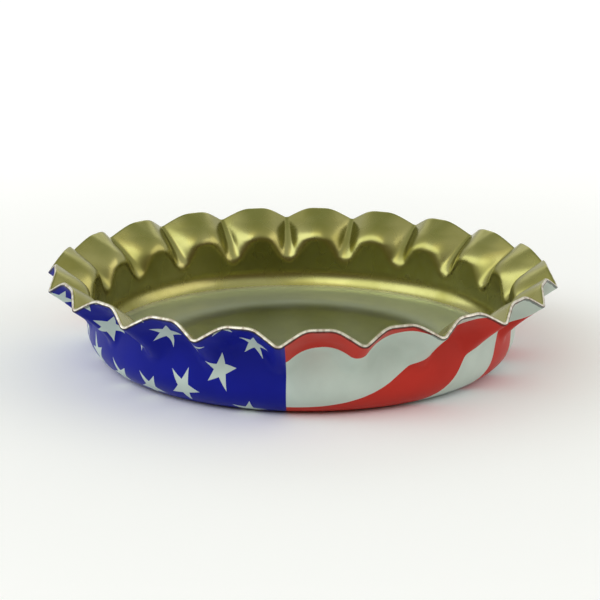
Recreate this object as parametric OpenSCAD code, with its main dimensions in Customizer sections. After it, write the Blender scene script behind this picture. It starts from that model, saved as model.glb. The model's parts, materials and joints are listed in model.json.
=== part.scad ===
// Bottle cap for a 26 mm bottle finish, not yet crimped: a cup with a fluted, flared skirt,
// pressed in one stroke from a disc of tinplate, and the sealing liner moulded into it.
// It lies on its panel with the mouth up. The origin is the centre of the panel's
// outer face, and +Z runs up out of the mouth. The first ridge is near -Y.

/* [Cup] */
// Height over all, from the panel's outer face to the top of the rim
cap_h = 6; // [5:0.05:7.5]
// Diameter over the tips of the ridges
skirt_d = 32.1; // [30.5:0.1:40]
// Inside diameter of the straight wall, which goes over the bottle's finish
bore_d = 26.6; // [20:0.05:27.4]
// Thickness of the sheet
sheet_t = 0.24; // [0.18:0.01:0.32]
// Outside radius of the shoulder between panel and wall
shoulder_r = 2.1; // [1.4:0.05:2.2]

/* [Flutes] */
// Number of flutes round the skirt
flute_n = 21; // [18:1:24]
// Height of the fluted band, from the top of the rim down to where a ridge leaves the wall
flute_h = 3.4; // [2.8:0.05:3.6]
// Outside radius along the crest of a ridge
ridge_r = 0.7; // [0.4:0.05:0.8]
// How far the rim dips at the tip of a ridge
rim_dip = 1; // [0.6:0.05:1.4]
// Depth of the flutes at the rim, from the tip of a ridge in to the top edge of a trough
flute_depth = 0.7; // [0.5:0.05:0.9]
// Width of the level stretch of rim in a trough
trough_w = 2.06; // [1.4:0.02:2.6]
// Height of the flare in a trough, from the top of the rim down to its bend
flare_h = 1.5; // [1.2:0.05:2]
// Outside radius of the bend at the foot of a trough's flare
bend_r = 1.1; // [0.4:0.05:1.3]
// Turn of the first ridge away from -Y, towards +X
first_ridge = -4.5; // [-10:0.5:10]

/* [Liner] */
// Thickness of the liner's web, which covers the panel
web_t = 0.2; // [0.1:0.02:0.3]
// Thickness of the liner's raised ring, which seals against the bottle's lip
seal_t = 0.45; // [0.36:0.01:0.7]
// Width of the raised ring, from the line of the bore in to the ring's inner edge
seal_w = 3.95; // [3:0.05:5]
// Radius of the rounding along the ring's inner edge
seal_round = 0.15; // [0.05:0.01:0.16]

/* [Hidden] */
$fa = 2;
$fs = 0.06;

bore_r = bore_d / 2;
wall_r = bore_r + sheet_t;
tip_r = skirt_d / 2;
tip_z = cap_h - rim_dip;
trough_r = tip_r - flute_depth;
flute_a = 360 / flute_n;

// Angles of the flare and of a ridge's crest, both from the vertical
flare_a = atan2(trough_r - bore_r, flare_h);
foot_z = cap_h - flute_h;
ridge_a = atan2(tip_r - wall_r, tip_z - foot_z);

// The bend's centre lies outside the wall, and is the same for both faces of the sheet
bend_to_wall = bend_r + sheet_t;
bend_z = cap_h - flare_h - bend_to_wall * tan(flare_a / 2);

// The rim is sheared along a cone through the trough's top edge and the ridge's tip
shear_lean = flute_depth / rim_dip;
edge_drop = sheet_t / (shear_lean * cos(flare_a) + sin(flare_a));
edge_r = trough_r + shear_lean * edge_drop;

// Where a ridge's flank meets the trough at the rim: across the ridge, and below its crest
corner_a = flute_a / 2 - asin(trough_w / 2 / edge_r);
corner_y = edge_r * sin(corner_a);
corner_x = (edge_r * cos(corner_a) - tip_r) * cos(ridge_a)
    - (rim_dip - edge_drop) * sin(ridge_a);
flank_a = atan2(corner_y, -corner_x - ridge_r)
    - asin(ridge_r / norm([corner_y, corner_x + ridge_r]));

// Lengths that only have to run clear of the sheet
over = 1;
ridge_run = (tip_z - foot_z) / cos(ridge_a) + over;
form_top = cap_h + over;

// Half section of the cup whose outside is the sheet's inner face (g = 0)
// or its outer face (g = sheet_t), with sharp flares and no ridges
module cup_section(g, top) {
    shoulder = shoulder_r - sheet_t + g;
    bend = bend_to_wall - g;
    flare_end = trough_r + g / cos(flare_a) + (top - cap_h) * tan(flare_a);
    bend_c = [bore_r + bend_to_wall, bend_z];
    translate([0, sheet_t - g]) square([bore_r + g - shoulder, shoulder]);
    intersection() {
        translate([bore_r + g - shoulder, sheet_t - g + shoulder]) circle(shoulder);
        translate([0, sheet_t - g]) square([bore_r + g, shoulder]);
    }
    translate([0, sheet_t - g + shoulder]) square([bore_r + g, bend_z - shoulder - sheet_t + g]);
    difference() {
        polygon([
            [0, bend_z],
            bend_c,
            bend_c + bend * [-cos(flare_a), sin(flare_a)],
            [flare_end, top],
            [0, top]
        ]);
        translate(bend_c) circle(bend);
    }
}

// Section across a ridge, crest towards +X with its tip at the origin
module ridge_section(g) {
    crest = ridge_r - sheet_t + g;
    side = crest * [sin(flank_a), cos(flank_a)];
    foot = side + 2 * over * [-cos(flank_a), sin(flank_a)];
    translate([-ridge_r, 0]) {
        circle(crest);
        polygon([side, foot, [foot.x, -foot.y], [side.x, -side.y]]);
    }
}

module ridges(g) {
    for (i = [0 : flute_n - 1])
        rotate([0, 0, first_ridge - 90 + i * flute_a])
            translate([tip_r, 0, tip_z])
                rotate([0, ridge_a, 0])
                    translate([0, 0, -ridge_run])
                        linear_extrude(ridge_run + 1.5 * over) ridge_section(g);
}

module formed_face(g, top) {
    rotate_extrude() cup_section(g, top);
    ridges(g);
}

module rim_cone() {
    top = form_top + over;
    rotate_extrude() polygon([
        [0, -over],
        [tip_r + shear_lean * (tip_z + over), -over],
        [tip_r - shear_lean * (top - tip_z), top],
        [0, top]
    ]);
}

module cap_shell() {
    color("goldenrod") difference() {
        intersection() {
            formed_face(sheet_t, form_top);
            rim_cone();
        }
        formed_face(0, form_top + 2 * over);
    }
}

// Half section of the liner before it meets the shoulder: web, and ring with a rounded edge
module liner_section() {
    seal_r = bore_r - seal_w;
    web_top = sheet_t + web_t;
    seal_top = sheet_t + seal_t;
    square([bore_r, web_top]);
    translate([seal_r + seal_round, 0]) square([bore_r - seal_r - seal_round, seal_top]);
    translate([seal_r, 0]) square([bore_r - seal_r, seal_top - seal_round]);
    translate([seal_r + seal_round, seal_top - seal_round]) circle(seal_round);
}

// The liner takes its outer face from the sheet's inner face
module sealing_liner() {
    color("ivory") rotate_extrude() intersection() {
        liner_section();
        cup_section(0, form_top);
    }
}

cap_shell();
sealing_liner();
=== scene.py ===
import json
import math
from types import SimpleNamespace

import bpy
import numpy as np
from mathutils import Matrix, Vector


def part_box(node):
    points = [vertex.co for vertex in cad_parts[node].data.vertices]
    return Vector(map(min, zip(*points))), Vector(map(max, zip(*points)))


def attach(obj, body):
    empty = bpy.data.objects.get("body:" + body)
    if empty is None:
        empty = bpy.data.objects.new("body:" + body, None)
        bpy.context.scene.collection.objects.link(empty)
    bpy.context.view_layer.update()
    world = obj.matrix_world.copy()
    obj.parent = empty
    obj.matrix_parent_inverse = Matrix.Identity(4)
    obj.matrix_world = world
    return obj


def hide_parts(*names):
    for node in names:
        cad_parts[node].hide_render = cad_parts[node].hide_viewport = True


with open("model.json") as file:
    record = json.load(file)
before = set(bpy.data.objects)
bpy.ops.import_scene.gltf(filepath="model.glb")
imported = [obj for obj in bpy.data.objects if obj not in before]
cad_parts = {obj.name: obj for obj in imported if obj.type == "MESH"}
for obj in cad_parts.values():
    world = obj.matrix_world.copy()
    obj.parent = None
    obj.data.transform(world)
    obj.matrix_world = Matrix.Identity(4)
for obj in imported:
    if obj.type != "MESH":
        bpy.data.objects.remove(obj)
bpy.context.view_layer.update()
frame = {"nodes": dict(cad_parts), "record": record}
mm = 0.001  # the cap is worked out in millimetres and stored in metres
print("frame loaded")

shot = {
    "focal": 1715.2,  # pixels, on an image 600 pixels wide
    "imageWidth": 600,
    "sensorWidth": 36,  # mm
    "nearest": 0.005,  # m from the eye, of what the camera shows
    "farthest": 20,
    "reach": 109.86,  # mm from the eye to the middle of the cap's panel
    "rise": 17.19,  # degrees the eye stands above the table
    "tilt": 15.5,  # degrees the view looks down
    "yaw": -0.05,  # degrees it looks to the right
    "roll": 0.525,  # degrees the camera's right side is tipped up
}


def aimCamera(shot):
    rise, tilt, yaw, roll = (math.radians(shot[key]) for key in ("rise", "tilt", "yaw", "roll"))
    ahead = Vector((math.sin(yaw) * math.cos(tilt), math.cos(yaw) * math.cos(tilt), -math.sin(tilt)))
    level = ahead.cross(Vector((0, 0, 1))).normalized()
    above = level.cross(ahead)
    across = level * math.cos(roll) + above * math.sin(roll)
    upward = above * math.cos(roll) - level * math.sin(roll)
    lens = bpy.data.cameras.new("camera")
    lens.sensor_width = shot["sensorWidth"]
    lens.lens = shot["focal"] / shot["imageWidth"] * lens.sensor_width
    lens.clip_start = shot["nearest"]
    lens.clip_end = shot["farthest"]
    camera = bpy.data.objects.new("camera", lens)
    turn = Matrix((across, upward, -ahead)).transposed().to_4x4()
    eye = Vector((0, -math.cos(rise), math.sin(rise))) * shot["reach"] * mm
    camera.matrix_world = Matrix.Translation(eye) @ turn
    bpy.context.collection.objects.link(camera)
    bpy.context.scene.camera = camera


aimCamera(shot)
bpy.context.scene.view_settings.view_transform = "Standard"
print("camera set")


def toLinear(code):
    # the sRGB curve, from a hex code to what the shaders work in
    parts = [int(code[i:i + 2], 16) / 255 for i in (1, 3, 5)]
    return tuple(c / 12.92 if c < 0.04045 else ((c + 0.055) / 1.055) ** 2.4 for c in parts) + (1,)


def addNode(tree, kind, settings=None, inputs=None):
    # settings are the node's own choices; an input takes a value, a node's output,
    # or a node, which stands for its first output
    made = tree.nodes.new(kind)
    for name, value in (settings or {}).items():
        setattr(made, name, value)
    for socket, value in (inputs or {}).items():
        if isinstance(value, bpy.types.Node):
            value = value.outputs[0]
        if isinstance(value, bpy.types.NodeSocket):
            tree.links.new(value, made.inputs[socket])
        else:
            made.inputs[socket].default_value = value
    return made


def addMath(tree, operation, *values):
    return addNode(tree, "ShaderNodeMath", {"operation": operation}, dict(enumerate(values)))


def addVector(tree, operation, *vectors):
    return addNode(tree, "ShaderNodeVectorMath", {"operation": operation}, dict(enumerate(vectors)))


def mixColours(tree, share, low, high):
    # a Mix node takes its two colours in sockets 6 and 7 and gives the mixed one in its third output
    mixed = addNode(tree, "ShaderNodeMix", {"data_type": "RGBA"}, {0: share, 6: low, 7: high})
    return mixed.outputs[2]


def addNoise(tree, place, scale, octaves=3.0):
    return addNode(tree, "ShaderNodeTexNoise", None, {"Vector": place, "Scale": scale, "Detail": octaves})


noiseLow, noiseHigh = 0.3, 0.7  # nearly all values of a noise texture lie between these


def addGloss(tree, noise, roughness):
    # a roughness that wanders between two values with a noise
    smooth, dull = roughness
    return addNode(tree, "ShaderNodeMapRange", None,
                   {"Value": noise, "From Min": noiseLow, "From Max": noiseHigh,
                    "To Min": smooth, "To Max": dull})


def startMaterial(name):
    material = bpy.data.materials.new(name)
    material.use_nodes = True
    material.node_tree.nodes.clear()
    return material, material.node_tree


def skinRings(name, rings, middles, turned=False):
    # a closed skin over rings of points, with a fan to a middle point at each end
    count = len(rings[0])
    column = np.arange(count)
    beside = (column + 1) % count
    last = (len(rings) - 1) * count
    hub = np.full(count, last + count)  # the first middle point, and the other comes after it
    strips = []
    for a in range(0, last, count):
        b = a + count
        strips.append([a + column, a + beside, b + beside, b + column])
    strips += [[hub, beside, column], [hub + 1, last + column, last + beside]]
    faces = []
    for strip in strips:
        if turned:
            strip = strip[:1] + strip[:0:-1]
        faces += np.stack(strip, axis=1).tolist()
    vertices = np.concatenate(rings + [np.array(middles)])
    mesh = bpy.data.meshes.new(name)
    mesh.from_pydata((vertices * mm).tolist(), [], faces)
    mesh.polygons.foreach_set("use_smooth", [True] * len(faces))
    mesh.update()
    mesh.validate()
    piece = bpy.data.objects.new(name, mesh)
    bpy.context.collection.objects.link(piece)
    return piece


# The pressed sheet. Height, bore and skirt come from the frame, the rest from here, in mm.
cap = {
    "sheet": 0.24,  # tinplate with its lacquers
    "shoulderRadius": 2.1,
    "flutes": 21,
    "bandHeight": 3.2,  # from the top of the rim down to the foot of a ridge
    "ridgeRadius": 0.46,  # of a ridge's crest, at the rim
    "footRadius": 0.9,  # of the crest where it leaves the wall
    "crestCurve": 0.3,  # how much more the crest leans at the rim than at its foot
    "footFlank": 38,  # degrees between a flank and the ridge's middle, at its foot
    "flankGrowth": 2.5,  # power by which that angle opens towards the rim
    "rimDip": 1.0,  # of the rim, at the tip of a ridge
    "fluteDepth": 0.7,  # at the rim, from the tip of a ridge in to the trough
    "troughWidth": 2.06,  # of the rim's level stretch in a trough
    "flareHeight": 1.3,  # from the top of the rim down to where a trough bends
    "bendRadius": 1.1,
    "firstRidge": -4.5,  # degrees from -Y towards +X
    "footCrease": 0.45,  # how far the press rounds the line between flank and trough, at the wall
    "rimCrease": 0.24,  # the same, at the rim
    "midCrease": 0.5,  # and how much farther half-way up
    "edgeRound": 0.045,  # how far the sheared edge stands out between its rolled corners
    "edgeFlatness": 4,  # power that keeps it flat between them
    "panelRings": (3.0, 6.0, 9.0),  # radii
    "panelInsets": (0.5, 0.05),  # of two more rings, from the start of the shoulder
    "shoulderRows": 12,
    "plainRows": 4,  # straight wall below the flutes
    "flutedRows": 44,
    "edgeRows": (0, 0.1, 0.3, 0.45, 0.7, 0.9, 1),  # shares of the thickness
    "tornShare": 0.3,  # of the edge, next to the print, where the shear tore the steel; it is darker there partly as painted shade
    "columnsPerFlute": 32,
    "ridgeCrowding": 0.45,  # share by which columns draw closer on a ridge
    "rimMargin": 0.5,  # above and below the rim, where the search for it starts
    "rimHalvings": 40,
    "nudge": 1e-4,  # in mm and in radians, for the slope of the formed face
    "blankRadius": 18.65,  # of the flat disc, where the print ends
    "shoulderDraw": 0.12,  # radians of the corner that the sheet slips inwards as it turns it
    "wallDraw": 0.28,  # how much more the press stretches the foot of the wall than the rim
}
coats = {"printed": 0, "sheared": 1, "lacquered": 2, "torn": 3}  # the cap's material slots


def measureCap(cap, frame):
    form = SimpleNamespace(**cap)
    mounts = {mount["name"]: mount for mount in frame["record"]["mounts"]}
    points = frame["nodes"]["cap_shell"].data.vertices
    form.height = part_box("cap_shell")[1].z / mm
    form.boreRadius = mounts["bottle_finish"]["dims"]["r_mm"]
    form.tipRadius = max(math.hypot(point.co.x, point.co.y) for point in points) / mm
    form.wallRadius = form.boreRadius + form.sheet
    form.panelRadius = form.wallRadius - form.shoulderRadius
    form.tipHeight = form.height - form.rimDip
    form.footHeight = form.height - form.bandHeight
    form.pitch = 2 * math.pi / form.flutes
    form.first = math.radians(form.firstRidge)
    troughRadius = form.tipRadius - form.fluteDepth
    form.flareLean = math.atan2(troughRadius - form.boreRadius, form.flareHeight)
    form.ridgeLean = math.atan2(form.tipRadius - form.wallRadius, form.tipHeight - form.footHeight)
    # the flare's outer face, run down to where it would cut the wall, and the blend that bends it there
    form.flareFoot = form.height - form.flareHeight - form.sheet * math.tan(form.flareLean / 2)
    form.bend = form.bendRadius * math.tan(form.flareLean / 2) * math.tan(form.flareLean)
    form.shearLean = form.fluteDepth / form.rimDip
    # where a flank meets the trough at the rim, which sets the flank's slope
    drop = form.sheet / (form.shearLean * math.cos(form.flareLean) + math.sin(form.flareLean))
    edgeRadius = troughRadius + form.shearLean * drop
    corner = form.pitch / 2 - math.asin(form.troughWidth / 2 / edgeRadius)
    across = edgeRadius * math.sin(corner)
    below = ((form.tipRadius - edgeRadius * math.cos(corner)) * math.cos(form.ridgeLean)
             + (form.rimDip - drop) * math.sin(form.ridgeLean) - form.ridgeRadius)
    form.flank = math.atan2(across, below) - math.asin(form.ridgeRadius / math.hypot(across, below))
    return form


def ridgeLine(form, angle, z):
    # the outer face of a leaning ridge: a round crest with flanks that open towards the rim
    sine, cosine = np.abs(np.sin(angle)), np.cos(angle)
    lean = math.cos(form.ridgeLean)
    share = (z - form.footHeight) / (form.tipHeight - form.footHeight)
    climbed = np.clip(share, 0, 1)
    opened = climbed ** form.flankGrowth
    flank = math.radians(form.footFlank) * (1 - opened) + form.flank * opened
    radius = form.footRadius * (1 - climbed) + form.ridgeRadius * climbed
    swung = (share + form.crestCurve * share ** 2) / (1 + form.crestCurve)
    crest = form.wallRadius + (form.tipRadius - form.wallRadius) * swung
    side = radius * np.cos(flank)
    fall = 1 / (np.tan(flank) * lean)
    straight = ((crest - radius * (1 - np.sin(flank)) / lean + side * fall)
                / (cosine + fall * sine))
    # the crest is round across its lean, so level with the table it is an ellipse
    middle = crest - radius / lean
    a = (cosine * lean) ** 2 + sine ** 2
    b = middle * lean ** 2 * cosine
    c = (middle * lean) ** 2 - radius ** 2
    rounded = (b + np.sqrt(np.maximum(b * b - a * c, 0))) / a
    return np.where(rounded * sine < side, rounded, straight)


def blendOut(a, b, reach):
    # the outer of two faces, with the line between them rounded
    overlap = np.maximum(reach - np.abs(a - b), 0)
    return np.maximum(a, b) + overlap ** 2 / (4 * reach)


def outerRadius(form, angle, z):
    offset = (angle - form.first + form.pitch / 2) % form.pitch - form.pitch / 2
    flare = form.wallRadius + (z - form.flareFoot) * math.tan(form.flareLean)
    plain = blendOut(flare, form.wallRadius, form.bend)
    climbed = np.clip((z - form.footHeight) / (form.height - form.footHeight), 0, 1)
    crease = form.footCrease * (1 - climbed) + form.rimCrease * climbed
    crease = crease + 4 * climbed * (1 - climbed) * form.midCrease
    return blendOut(ridgeLine(form, offset, z), plain, crease)


def rimHeight(form, angle):
    # the sheet is sheared along a cone through the ridge tips, and the rim is found by halving
    low = np.full_like(angle, form.tipHeight - form.rimMargin)
    high = np.full_like(angle, form.height + form.rimMargin)
    for _ in range(form.rimHalvings):
        z = (low + high) / 2
        cone = form.tipRadius - form.shearLean * (z - form.tipHeight) - form.edgeRound
        outside = outerRadius(form, angle, z) > cone
        high = np.where(outside, z, high)
        low = np.where(outside, low, z)
    return low


def wallPoint(form, angle, z):
    radius = outerRadius(form, angle, z)
    return np.stack([radius * np.sin(angle), -radius * np.cos(angle), z], axis=-1)


def wallNormal(form, angle, z):
    step = form.nudge
    around = wallPoint(form, angle + step, z) - wallPoint(form, angle - step, z)
    upward = wallPoint(form, angle, z + step) - wallPoint(form, angle, z - step)
    normal = np.cross(around, upward)
    return normal / np.linalg.norm(normal, axis=-1, keepdims=True)


def layRings(form):
    # rings of the outer face from the panel outwards: points, normals, and radius on the flat disc
    count = form.flutes * form.columnsPerFlute
    turn = np.arange(count) / form.columnsPerFlute
    crowd = form.ridgeCrowding * np.sin(2 * math.pi * turn) / (2 * math.pi)
    angle = form.first + form.pitch * (turn - crowd)
    outward = np.stack([np.sin(angle), -np.cos(angle), np.zeros(count)], axis=-1)
    up = np.array([0, 0, 1.0])
    rings = []
    insets = tuple(form.panelRadius - inset for inset in form.panelInsets)
    for radius in form.panelRings + insets:
        rings.append((outward * radius, np.tile(-up, (count, 1)), np.full(count, radius)))
    neutral = form.shoulderRadius - form.sheet / 2
    for bent in np.linspace(0, math.pi / 2, form.shoulderRows):
        normal = outward * math.sin(bent) - up * math.cos(bent)
        point = outward * form.panelRadius + up * form.shoulderRadius + normal * form.shoulderRadius
        drawn = bent + form.shoulderDraw * math.sin(2 * bent)
        rings.append((point, normal, np.full(count, form.panelRadius + neutral * drawn)))
    wallStart = form.panelRadius + neutral * math.pi / 2
    top = rimHeight(form, angle)
    share = (form.footHeight - form.shoulderRadius) / (form.height - form.shoulderRadius)
    steps = np.concatenate([np.linspace(0, share, form.plainRows, endpoint=False),
                            np.linspace(share, 1, form.flutedRows)])[1:]
    heights = form.shoulderRadius + steps[:, None] * (top - form.shoulderRadius)
    points = [rings[-1][0]] + [wallPoint(form, angle, z) for z in heights]
    climbed = np.cumsum([np.linalg.norm(b - a, axis=1) for a, b in zip(points, points[1:])], axis=0)
    for z, point, way in zip(heights, points[1:], climbed / climbed[-1]):
        drawn = way - form.wallDraw * way * (1 - way)
        flat = wallStart + drawn * (form.blankRadius - wallStart)
        rings.append((point, wallNormal(form, angle, z), flat))
    return angle, rings


def wrapSheet(form, rings):
    # up the outer face, over the sheared edge and down the inner face
    skin = [(point, flat, "printed") for point, normal, flat in rings]
    rim, normal, flat = rings[-1]
    onward = rim - rings[-2][0]
    onward -= normal * np.sum(onward * normal, axis=1, keepdims=True)
    onward /= np.linalg.norm(onward, axis=1, keepdims=True)
    for share in form.edgeRows[1:-1]:
        bulge = form.edgeRound * (1 - abs(2 * share - 1) ** form.edgeFlatness)
        # next to the print the edge takes the dark torn coat, whose darkness is partly painted shade
        coat = "torn" if share < form.tornShare else "sheared"
        skin.append((rim - share * form.sheet * normal + bulge * onward, flat, coat))
    # the rolled corners keep the coating of the face they belong to
    skin[-1] = skin[-1][:2] + ("lacquered",)
    skin += [(point - form.sheet * normal, flat, "lacquered") for point, normal, flat in reversed(rings)]
    return skin


def layFlat(mesh, angle, flats):
    # every point also knows its place on the flat disc, in mm, where the print is laid out
    turns = np.concatenate([np.tile(angle, len(flats)), np.zeros(2)])
    flats = np.concatenate(flats + [np.zeros(2)])
    spread = np.stack([flats * np.sin(turns), -flats * np.cos(turns)], axis=1)
    corners = np.empty(len(mesh.loops), dtype=np.int32)
    mesh.loops.foreach_get("vertex_index", corners)
    layer = mesh.uv_layers.new(name="flatDisc")
    layer.data.foreach_set("uv", spread[corners].astype(np.float32).ravel())


def buildCap(form):
    angle, rings = layRings(form)
    points, flats, coated = zip(*wrapSheet(form, rings))
    piece = skinRings("cap_shell_visual", list(points), [[0, 0, 0], [0, 0, form.sheet]])
    slots = [coats[coat] for coat in coated[:-1] + ("printed", "lacquered")]
    piece.data.polygons.foreach_set("material_index", np.repeat(slots, len(angle)).tolist())
    layFlat(piece.data, angle, list(flats))
    return piece


form = measureCap(cap, frame)
capShell = buildCap(form)
print("sheet pressed:", len(capShell.data.polygons), "faces")


# Offset-printed enamel under varnish: flat colours with a satin gloss over them.
enamel = {
    "blue": "#171f9c",
    "white": "#d5e3df",
    "red": "#ce3a32",
    "turn": 2.2,  # degrees the print stands askew on its disc
    "cantonEdge": -0.32,  # mm on the flat disc, from its middle
    "cantonFoot": 1.75,
    "stripe": 3.0,  # mm, width of one stripe
    "starStep": (2.02, 2.07),  # half the spacing of the stars in their staggered rows
    "starAt": (-4.5, -14.42),  # last star of its row
    "starRadius": 1.07,
    "roughness": (0.3, 0.42),
    "ior": 1.5,
    "sheen": 0.09,  # specular level of the satin varnish
    "cloud": 0.5,  # per mm, of the patches in which ink and varnish lie thicker or thinner
    "inkSpan": (0.35, 0.65),  # values of that noise between which the ink goes from thick to thin
    "inkDepth": 0.08,  # how much darker it is where it lies thick
    "peel": 2.2,  # per mm, of the varnish's orange peel
    "peelDepth": 0.0012,  # mm
    "chipped": "#2c292c",  # dark steel where the coating cracked along the shear, and partly painted shade under the sheared edge
    "chipCover": 0.65,  # how much of it shows there
    "chipAt": 18.54,  # mm from the middle of the disc
    "chipSize": 2.6,  # per mm
    "chipSpread": 0.3,  # mm, how far the ragged line wanders
    "chipEdge": 0.04,  # mm, softness of that line
}


def setStars(tree, enamel, sheet, u, v):
    # each point is folded into one arm of the nearest star, then tested against the arm's side
    centre = (enamel["starAt"][0], enamel["starAt"][1], 0)
    wide, tall = enamel["starStep"]
    armAngle = math.radians(36)  # from the middle of an arm to the notch beside it
    sideAngle = math.radians(72)  # from the middle of an arm to the normal of its side
    reaches = []
    for shift in ((0, 0, 0), (wide, tall, 0)):
        origin = tuple(c + s for c, s in zip(centre, shift))
        moved = addVector(tree, "SUBTRACT", sheet, origin)
        cell = addVector(tree, "WRAP", moved, (wide, tall, 1), (-wide, -tall, -1))
        part = addNode(tree, "ShaderNodeSeparateXYZ", None, {0: cell})
        away = addVector(tree, "LENGTH", cell)
        down = addMath(tree, "MULTIPLY", part.outputs[1], -1)
        bearing = addMath(tree, "ARCTAN2", part.outputs[0], down)
        arm = addMath(tree, "WRAP", bearing, armAngle, -armAngle)
        half = addMath(tree, "ABSOLUTE", arm)
        turned = addMath(tree, "SUBTRACT", half, sideAngle)
        facing = addMath(tree, "COSINE", turned)
        reach = addMath(tree, "MULTIPLY", facing, away.outputs["Value"])
        # no star past the last of its row, nor below the last row that clears the field's foot
        rows = math.floor((enamel["cantonFoot"] - enamel["starRadius"] - origin[1]) / (2 * tall))
        past = addMath(tree, "GREATER_THAN", u, origin[0] + wide)
        below = addMath(tree, "GREATER_THAN", v, origin[1] + (2 * rows + 1) * tall)
        reach = addMath(tree, "ADD", reach, past)
        reaches.append(addMath(tree, "ADD", reach, below))
    nearest = addMath(tree, "MINIMUM", *reaches)
    return addMath(tree, "LESS_THAN", nearest, enamel["starRadius"] * math.cos(sideAngle))


def layPrint(tree, enamel, disc):
    # flat colours laid out on the disc: stripes, and over one corner of them a field of stars
    blue, white, red = (toLinear(enamel[name]) for name in ("blue", "white", "red"))
    sheet = addNode(tree, "ShaderNodeMapping", None,
                    {"Vector": disc, "Rotation": (0, 0, math.radians(enamel["turn"]))})
    place = addNode(tree, "ShaderNodeSeparateXYZ", None, {0: sheet})
    u, v = place.outputs[0], place.outputs[1]

    # stripes run along u, and a row's number, odd or even, picks its colour
    row = addMath(tree, "SUBTRACT", v, enamel["cantonFoot"])
    wave = addMath(tree, "WRAP", row, enamel["stripe"], -enamel["stripe"])
    odd = addMath(tree, "GREATER_THAN", wave, 0)
    stripes = mixColours(tree, odd, red, white)

    star = setStars(tree, enamel, sheet, u, v)
    stars = mixColours(tree, star, blue, white)
    beyond = addMath(tree, "LESS_THAN", u, enamel["cantonEdge"])
    above = addMath(tree, "LESS_THAN", v, enamel["cantonFoot"])
    canton = addMath(tree, "MULTIPLY", beyond, above)
    return mixColours(tree, canton, stripes, stars)


def darkenRimChipsAndShade(tree, enamel, disc, ink):
    # the coating is darkened in a ragged line along the rim: partly chipped coating, partly painted shade
    # under the sheared edge
    distance = addVector(tree, "LENGTH", disc)
    ragged = addNoise(tree, disc, enamel["chipSize"], octaves=4.0)
    jag = addMath(tree, "MULTIPLY_ADD", ragged, enamel["chipSpread"], distance.outputs["Value"])
    start = enamel["chipAt"] + enamel["chipSpread"] / 2
    chipShade = addNode(tree, "ShaderNodeMapRange", None,
                   {"Value": jag, "From Min": start, "From Max": start + enamel["chipEdge"],
                    "To Max": enamel["chipCover"]})
    return mixColours(tree, chipShade, ink, toLinear(enamel["chipped"]))


def makeEnamel(enamel):
    material, tree = startMaterial("lithographed enamel")
    disc = addNode(tree, "ShaderNodeUVMap", {"uv_map": "flatDisc"})
    cloud = addNoise(tree, disc, enamel["cloud"])
    thick, thin = enamel["inkSpan"]
    depth = addNode(tree, "ShaderNodeMapRange", None,
                    {"Value": cloud, "From Min": thick, "From Max": thin,
                     "To Min": 1 - enamel["inkDepth"], "To Max": 1})
    ink = addNode(tree, "ShaderNodeVectorMath", {"operation": "SCALE"},
                  {0: layPrint(tree, enamel, disc), "Scale": depth})
    gloss = addGloss(tree, cloud, enamel["roughness"])
    peel = addNoise(tree, disc, enamel["peel"], octaves=2.0)
    relief = addNode(tree, "ShaderNodeBump", None, {"Height": peel, "Distance": enamel["peelDepth"] * mm})
    shader = addNode(tree, "ShaderNodeBsdfPrincipled", None,
                     {"Base Color": darkenRimChipsAndShade(tree, enamel, disc, ink), "Roughness": gloss,
                      "IOR": enamel["ior"], "Specular IOR Level": enamel["sheen"], "Normal": relief})
    addNode(tree, "ShaderNodeOutputMaterial", None, {"Surface": shader})
    return material


# Gold-lacquered tinplate: a thin yellow lacquer on bright tin, so it mirrors softly and warms
# what it mirrors.
lacquer = {
    "gold": "#a29f66",
    "thick": "#928f4f",  # the same lacquer where it ran thicker
    "cloud": 0.35,  # per mm, of those patches
    "cloudSpan": (0.4, 0.7),  # values of that noise between which the lacquer goes from thin to thick
    "roughness": (0.22, 0.32),
    "draw": 1.6,  # per mm round the wall, of the lines the press drew down it, coarse enough to show
    "drawRadius": 13.3,  # mm, radius of the wall that they are counted round
    "drawFollow": 0.04,  # pace at which they change along their length, where across it is 1
    "drawDepth": 0.004,  # mm
    "peel": 2.5,  # per mm
    "peelDepth": 0.0015,  # mm
}


def makeLacquer(lacquer):
    material, tree = startMaterial("gold lacquered tinplate")
    disc = addNode(tree, "ShaderNodeUVMap", {"uv_map": "flatDisc"})
    cloud = addNoise(tree, disc, lacquer["cloud"])
    thin, full = lacquer["cloudSpan"]
    depth = addNode(tree, "ShaderNodeMapRange", None, {"Value": cloud, "From Min": thin, "From Max": full})
    tone = mixColours(tree, depth, toLinear(lacquer["gold"]), toLinear(lacquer["thick"]))
    gloss = addGloss(tree, cloud, lacquer["roughness"])

    # draw lines run out from the middle of the disc: they vary with direction and hardly with distance
    way = addVector(tree, "NORMALIZE", disc)
    circled = addNode(tree, "ShaderNodeVectorMath", {"operation": "SCALE"},
                      {0: way, "Scale": lacquer["drawRadius"]})
    follow = (lacquer["drawFollow"], lacquer["drawFollow"], 0)
    slow = addVector(tree, "MULTIPLY_ADD", disc, follow, circled)
    lines = addNoise(tree, slow, lacquer["draw"])
    drawn = addNode(tree, "ShaderNodeBump", None, {"Height": lines, "Distance": lacquer["drawDepth"] * mm})
    peel = addNoise(tree, disc, lacquer["peel"], octaves=2.0)
    relief = addNode(tree, "ShaderNodeBump", None,
                     {"Height": peel, "Distance": lacquer["peelDepth"] * mm, "Normal": drawn})
    shader = addNode(tree, "ShaderNodeBsdfPrincipled", None,
                     {"Base Color": tone, "Metallic": 1.0, "Roughness": gloss, "Normal": relief})
    addNode(tree, "ShaderNodeOutputMaterial", None, {"Surface": shader})
    return material


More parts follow.
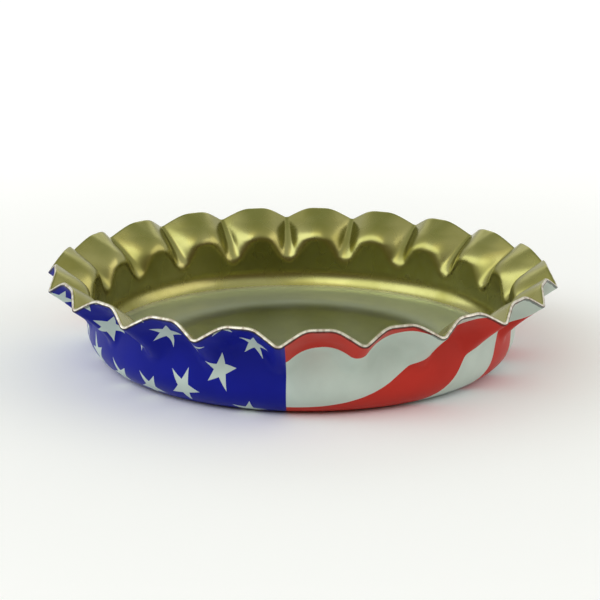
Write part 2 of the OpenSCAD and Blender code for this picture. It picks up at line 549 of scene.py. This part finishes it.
# Sheared tinplate edge: raw steel between two skins of tin, bright, with a dark strip next to the print
# that is partly torn steel and partly painted shade.
edge = {
    "steel": ("#dedad0", "#beb3a6"),  # bright, and where the shear dragged ink and lacquer over it
    # the dark strip: torn steel, darkened partly as painted shade under the edge
    "torn": ("#6a645c", "#4c463f"),
    "dragSpan": (0.45, 0.62),  # values of the marks' noise between which the one turns into the other
    "roughness": (0.35, 0.6),
    "score": 3.0,  # per mm along the edge, of the marks the shear left across it, coarse enough to show
    "scoreDepth": 0.006,  # mm
}


def makeEdge(edge, name, colour):
    material, tree = startMaterial(name)
    disc = addNode(tree, "ShaderNodeUVMap", {"uv_map": "flatDisc"})
    marks = addNoise(tree, disc, edge["score"])
    gloss = addGloss(tree, marks, edge["roughness"])
    relief = addNode(tree, "ShaderNodeBump", None, {"Height": marks, "Distance": edge["scoreDepth"] * mm})
    clean, covered = edge["dragSpan"]
    share = addNode(tree, "ShaderNodeMapRange", None,
                    {"Value": marks, "From Min": clean, "From Max": covered})
    bright, dragged = edge[colour]
    tone = mixColours(tree, share, toLinear(bright), toLinear(dragged))
    shader = addNode(tree, "ShaderNodeBsdfPrincipled", None,
                     {"Base Color": tone, "Metallic": 1.0, "Roughness": gloss, "Normal": relief})
    addNode(tree, "ShaderNodeOutputMaterial", None, {"Surface": shader})
    return material


# The sealing liner: a web over the panel and a raised ring, in mm.
liner = {
    "web": 0.2,
    "seal": 0.45,  # thickness in the ring
    "sealWidth": 3.95,  # from the line of the bore in to the ring's edge
    "slope": 2.0,  # width of the ring's soft inner slope
    "slopeOut": 0.35,  # share of it that lies outside the ring's edge
    "fillet": 0.6,  # where the ring's top turns up into the shoulder
    "feather": ((0.02, 0.001), (0.05, 0.004)),  # radians past the fillet, and mm into the lacquer
    "sunk": 0.02,  # into the lacquer, so that the two are bonded with no air between
    "webRings": (0.4, 0.75, 0.95),  # shares of the way out to the slope
    "slopeRows": 15,
    "filletRows": 12,
    "sunkRows": 11,
    "columns": 168,
}


def drawLiner(form, liner):
    # half section, from the middle of the web out over the ring and back underneath
    inner = form.shoulderRadius - form.sheet
    webTop = form.sheet + liner["web"]
    sealTop = form.sheet + liner["seal"]
    ringEdge = form.boreRadius - liner["sealWidth"]
    foot = ringEdge - liner["slope"] * (1 - liner["slopeOut"])
    outline = [(foot * share, webTop) for share in liner["webRings"]]
    for share in np.linspace(0, 1, liner["slopeRows"]):
        climbed = (1 - math.cos(math.pi * share)) / 2
        outline.append((foot + liner["slope"] * share, webTop + (sealTop - webTop) * climbed))
    middle = form.boreRadius - inner
    fillet = liner["fillet"]
    rise = form.shoulderRadius - sealTop - fillet
    reach = math.sqrt((inner - fillet) ** 2 - rise ** 2)
    steepest = math.atan2(reach, rise)
    for bent in np.linspace(0, steepest, liner["filletRows"]):
        outline.append((middle + reach + fillet * math.sin(bent), sealTop + fillet * (1 - math.cos(bent))))
    # it feathers out just under the lacquer
    for past, depth in liner["feather"]:
        outline.append((middle + (inner + depth) * math.sin(steepest + past),
                        form.shoulderRadius - (inner + depth) * math.cos(steepest + past)))
    for bent in np.linspace(steepest, 0, liner["sunkRows"]):
        outline.append((middle + (inner + liner["sunk"]) * math.sin(bent),
                        form.shoulderRadius - (inner + liner["sunk"]) * math.cos(bent)))
    outline.append((middle / 2, form.sheet - liner["sunk"]))
    return outline


def buildLiner(form, liner):
    count = liner["columns"]
    angle = np.arange(count) * 2 * math.pi / count
    rings = [np.stack([r * np.sin(angle), -r * np.cos(angle), np.full(count, z)], axis=1)
             for r, z in drawLiner(form, liner)]
    middles = [[0, 0, form.sheet + liner["web"]], [0, 0, form.sheet - liner["sunk"]]]
    return skinRings("sealing_liner_visual", rings, middles, turned=True)


# Clear sealing compound, moulded hot onto the lacquer: see-through, but hazed by its own fine skin.
compound = {
    "thin": "#ffffff",  # where the ring feathers out over the lacquer
    "clear": "#c9d88c",  # in the web
    "milky": "#edf8dc",  # in the ring
    "clearShare": 0.98,  # of light let through by the web
    "milkyShare": 0.76,  # and by the ring, where the compound is thick
    "levels": (0.46, 0.66, 0.7, 0.9),  # mm above the table, between which it turns milky and clear again
    "roughness": (0.3, 0.42),
    "ior": 1.5,
    "skin": 1.1,  # per mm, of the slow waves in its moulded skin
    "skinDepth": 0.006,  # mm
}


def makeCompound(compound):
    material, tree = startMaterial("moulded clear sealing compound")
    place = addNode(tree, "ShaderNodeTexCoord")
    height = addNode(tree, "ShaderNodeSeparateXYZ", None, {0: place.outputs["Object"]})

    # thickness shows as milkiness: it grows over the ring's slope and fades where the ring feathers out
    low, full, fading, feather = (level * mm for level in compound["levels"])
    grown = addNode(tree, "ShaderNodeMapRange", {"interpolation_type": "SMOOTHSTEP"},
                    {"Value": height.outputs[2], "From Min": low, "From Max": full})
    faded = addNode(tree, "ShaderNodeMapRange", {"interpolation_type": "SMOOTHSTEP"},
                    {"Value": height.outputs[2], "From Min": fading, "From Max": feather,
                     "To Min": 1.0, "To Max": 0.0})
    thick = addMath(tree, "MINIMUM", grown, faded)
    clear = addNode(tree, "ShaderNodeMapRange", None,
                    {"Value": thick, "To Min": compound["clearShare"], "To Max": compound["milkyShare"]})
    body = mixColours(tree, grown, toLinear(compound["clear"]), toLinear(compound["milky"]))
    tone = mixColours(tree, faded, toLinear(compound["thin"]), body)

    waves = addNoise(tree, place.outputs["Object"], compound["skin"] / mm)
    gloss = addGloss(tree, waves, compound["roughness"])
    relief = addNode(tree, "ShaderNodeBump", None,
                     {"Height": waves, "Distance": compound["skinDepth"] * mm})
    shader = addNode(tree, "ShaderNodeBsdfPrincipled", None,
                     {"Base Color": tone, "Roughness": gloss, "IOR": compound["ior"],
                      "Transmission Weight": clear, "Normal": relief})
    addNode(tree, "ShaderNodeOutputMaterial", None, {"Surface": shader})
    return material


sealingLiner = buildLiner(form, liner)
sealingLiner.data.materials.append(makeCompound(compound))
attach(sealingLiner, "root")
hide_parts("sealing_liner")
print("liner moulded:", len(sealingLiner.data.polygons), "faces")

coatings = {
    "printed": makeEnamel(enamel),
    "sheared": makeEdge(edge, "sheared tinplate edge", "steel"),
    "lacquered": makeLacquer(lacquer),
    "torn": makeEdge(edge, "torn tinplate edge", "torn"),
}
for coat in coats:
    capShell.data.materials.append(coatings[coat])
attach(capShell, "root")
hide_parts("cap_shell")
print("finishes applied")


# Table, lamps and surroundings
studio = {
    "tableSize": 6.0,  # m
    "tableColour": "#e8edea",  # matt card, which scatters light evenly and mirrors nothing
    "tableNear": (0.985, 0.99, 1.05),  # the same card as the camera or a mirror sees it, darkened under the cap as a painted shadow
    "tableFar": (1.2, 1.195, 1.285),  # and away from it, where it runs back out of view
    "tableReach": (0.015, 0.1),  # m from the cap's middle, where the painted shadow turns into the far level
    "tentLean": 20,  # degrees the tent's axis leans back, which leaves a dark gap low in front
    "tentGlow": 1.25,
    "tent": (  # cosine of the angle from that axis, and the tone there
        (-0.2, "#605238"),
        (0.02, "#665840"),
        (0.12, "#7e7664"),
        (0.19, "#a3a29d"),
        (0.27, "#c4c4c2"),
        (0.42, "#d2d2d0"),
        (0.7, "#c6c6bd"),
        (1.0, "#9fa58c"),
    ),
}


def makeTable(studio):
    half = studio["tableSize"] / 2
    mesh = bpy.data.meshes.new("table")
    mesh.from_pydata([(-half, -half, 0), (half, -half, 0), (half, half, 0), (-half, half, 0)],
                     [], [(0, 1, 2, 3)])
    table = bpy.data.objects.new("table", mesh)
    bpy.context.collection.objects.link(table)
    material, tree = startMaterial("matt white card")
    path = addNode(tree, "ShaderNodeLightPath")
    seen = addMath(tree, "MAXIMUM", path.outputs["Is Camera Ray"], path.outputs["Is Glossy Ray"])
    through = addMath(tree, "MAXIMUM", seen, path.outputs["Is Transmission Ray"])
    # painted shadow: what the camera and mirrors see of the card is darker round the cap's middle and
    # brightens away from it
    place = addNode(tree, "ShaderNodeTexCoord")
    away = addVector(tree, "LENGTH", place.outputs["Object"])
    near, far = studio["tableReach"]
    beyond = addNode(tree, "ShaderNodeMapRange", {"interpolation_type": "SMOOTHSTEP"},
                     {"Value": away.outputs["Value"], "From Min": near, "From Max": far})
    bright = mixColours(tree, beyond, studio["tableNear"] + (1,), studio["tableFar"] + (1,))
    paper = mixColours(tree, through, toLinear(studio["tableColour"]), bright)
    card = addNode(tree, "ShaderNodeBsdfDiffuse", None, {"Color": paper})
    addNode(tree, "ShaderNodeOutputMaterial", None, {"Surface": card})
    mesh.materials.append(material)


# Soft boxes, each 1 m from the cap and facing it: degrees round from the front (to the left below 0),
# up from the table and rolled, size in m, and how bright and what colour its face is.
lamps = {
    "leftBox": {
        "azimuth": -65,
        "elevation": 36,
        "roll": 22,
        "size": (2.3, 0.5),
        "glow": 1.75,
        "tint": "#f9fffd",
    },
    "rightBox": {
        "azimuth": 82,
        "elevation": 27,
        "roll": 0,
        "size": (0.8, 0.45),
        "glow": 1.25,
        "tint": "#fff4ee",
    },
    "backBox": {
        "azimuth": 180,
        "elevation": 36,
        "roll": 0,
        "size": (1.2, 0.4),
        "glow": 0.5,
        "tint": "#ffffff",
    },
    "frontBox": {
        "azimuth": -15,
        "elevation": 52,
        "roll": 0,
        "size": (0.5, 0.4),
        "glow": 0.5,
        "tint": "#ffe6a0",
    },
}


def hangLamps(lamps):
    for name, lamp in lamps.items():
        turn, rise = math.radians(lamp["azimuth"]), math.radians(lamp["elevation"])
        wide, tall = lamp["size"]
        light = bpy.data.lights.new(name, "AREA")
        light.shape = "RECTANGLE"
        light.size = wide
        light.size_y = tall
        light.color = toLinear(lamp["tint"])[:3]
        light.energy = lamp["glow"] * math.pi * wide * tall  # watts that give its face that glow
        holder = bpy.data.objects.new(name, light)
        away = Vector((math.sin(turn) * math.cos(rise), -math.cos(turn) * math.cos(rise), math.sin(rise)))
        holder.location = away
        facing = (-away).to_track_quat("-Z", "Y").to_matrix()
        rolled = Matrix.Rotation(math.radians(lamp["roll"]), 3, "Z")
        holder.rotation_euler = (facing @ rolled).to_euler()
        bpy.context.collection.objects.link(holder)


def lightRoom(studio):
    # a light tent whose wall has a gap low in front, where the camera stands
    world = bpy.data.worlds.new("studio")
    world.use_nodes = True
    tree = world.node_tree
    tree.nodes.clear()
    lean = math.radians(studio["tentLean"])
    way = addNode(tree, "ShaderNodeTexCoord")
    along = addVector(tree, "DOT_PRODUCT", way.outputs["Generated"], (0, math.sin(lean), math.cos(lean)))
    lowest = studio["tent"][0][0]
    place = addNode(tree, "ShaderNodeMapRange", None,
                    {"Value": along.outputs["Value"], "From Min": lowest})
    tones = addNode(tree, "ShaderNodeValToRGB", None, {0: place})
    ramp = tones.color_ramp
    while len(ramp.elements) < len(studio["tent"]):
        ramp.elements.new(1.0)
    for mark, (height, tone) in zip(ramp.elements, studio["tent"]):
        mark.position = (height - lowest) / (1 - lowest)
        mark.color = toLinear(tone)
    back = addNode(tree, "ShaderNodeBackground", None, {"Color": tones, "Strength": studio["tentGlow"]})
    addNode(tree, "ShaderNodeOutputWorld", None, {"Surface": back})
    bpy.context.scene.world = world


makeTable(studio)
hangLamps(lamps)
lightRoom(studio)
print("studio lit")
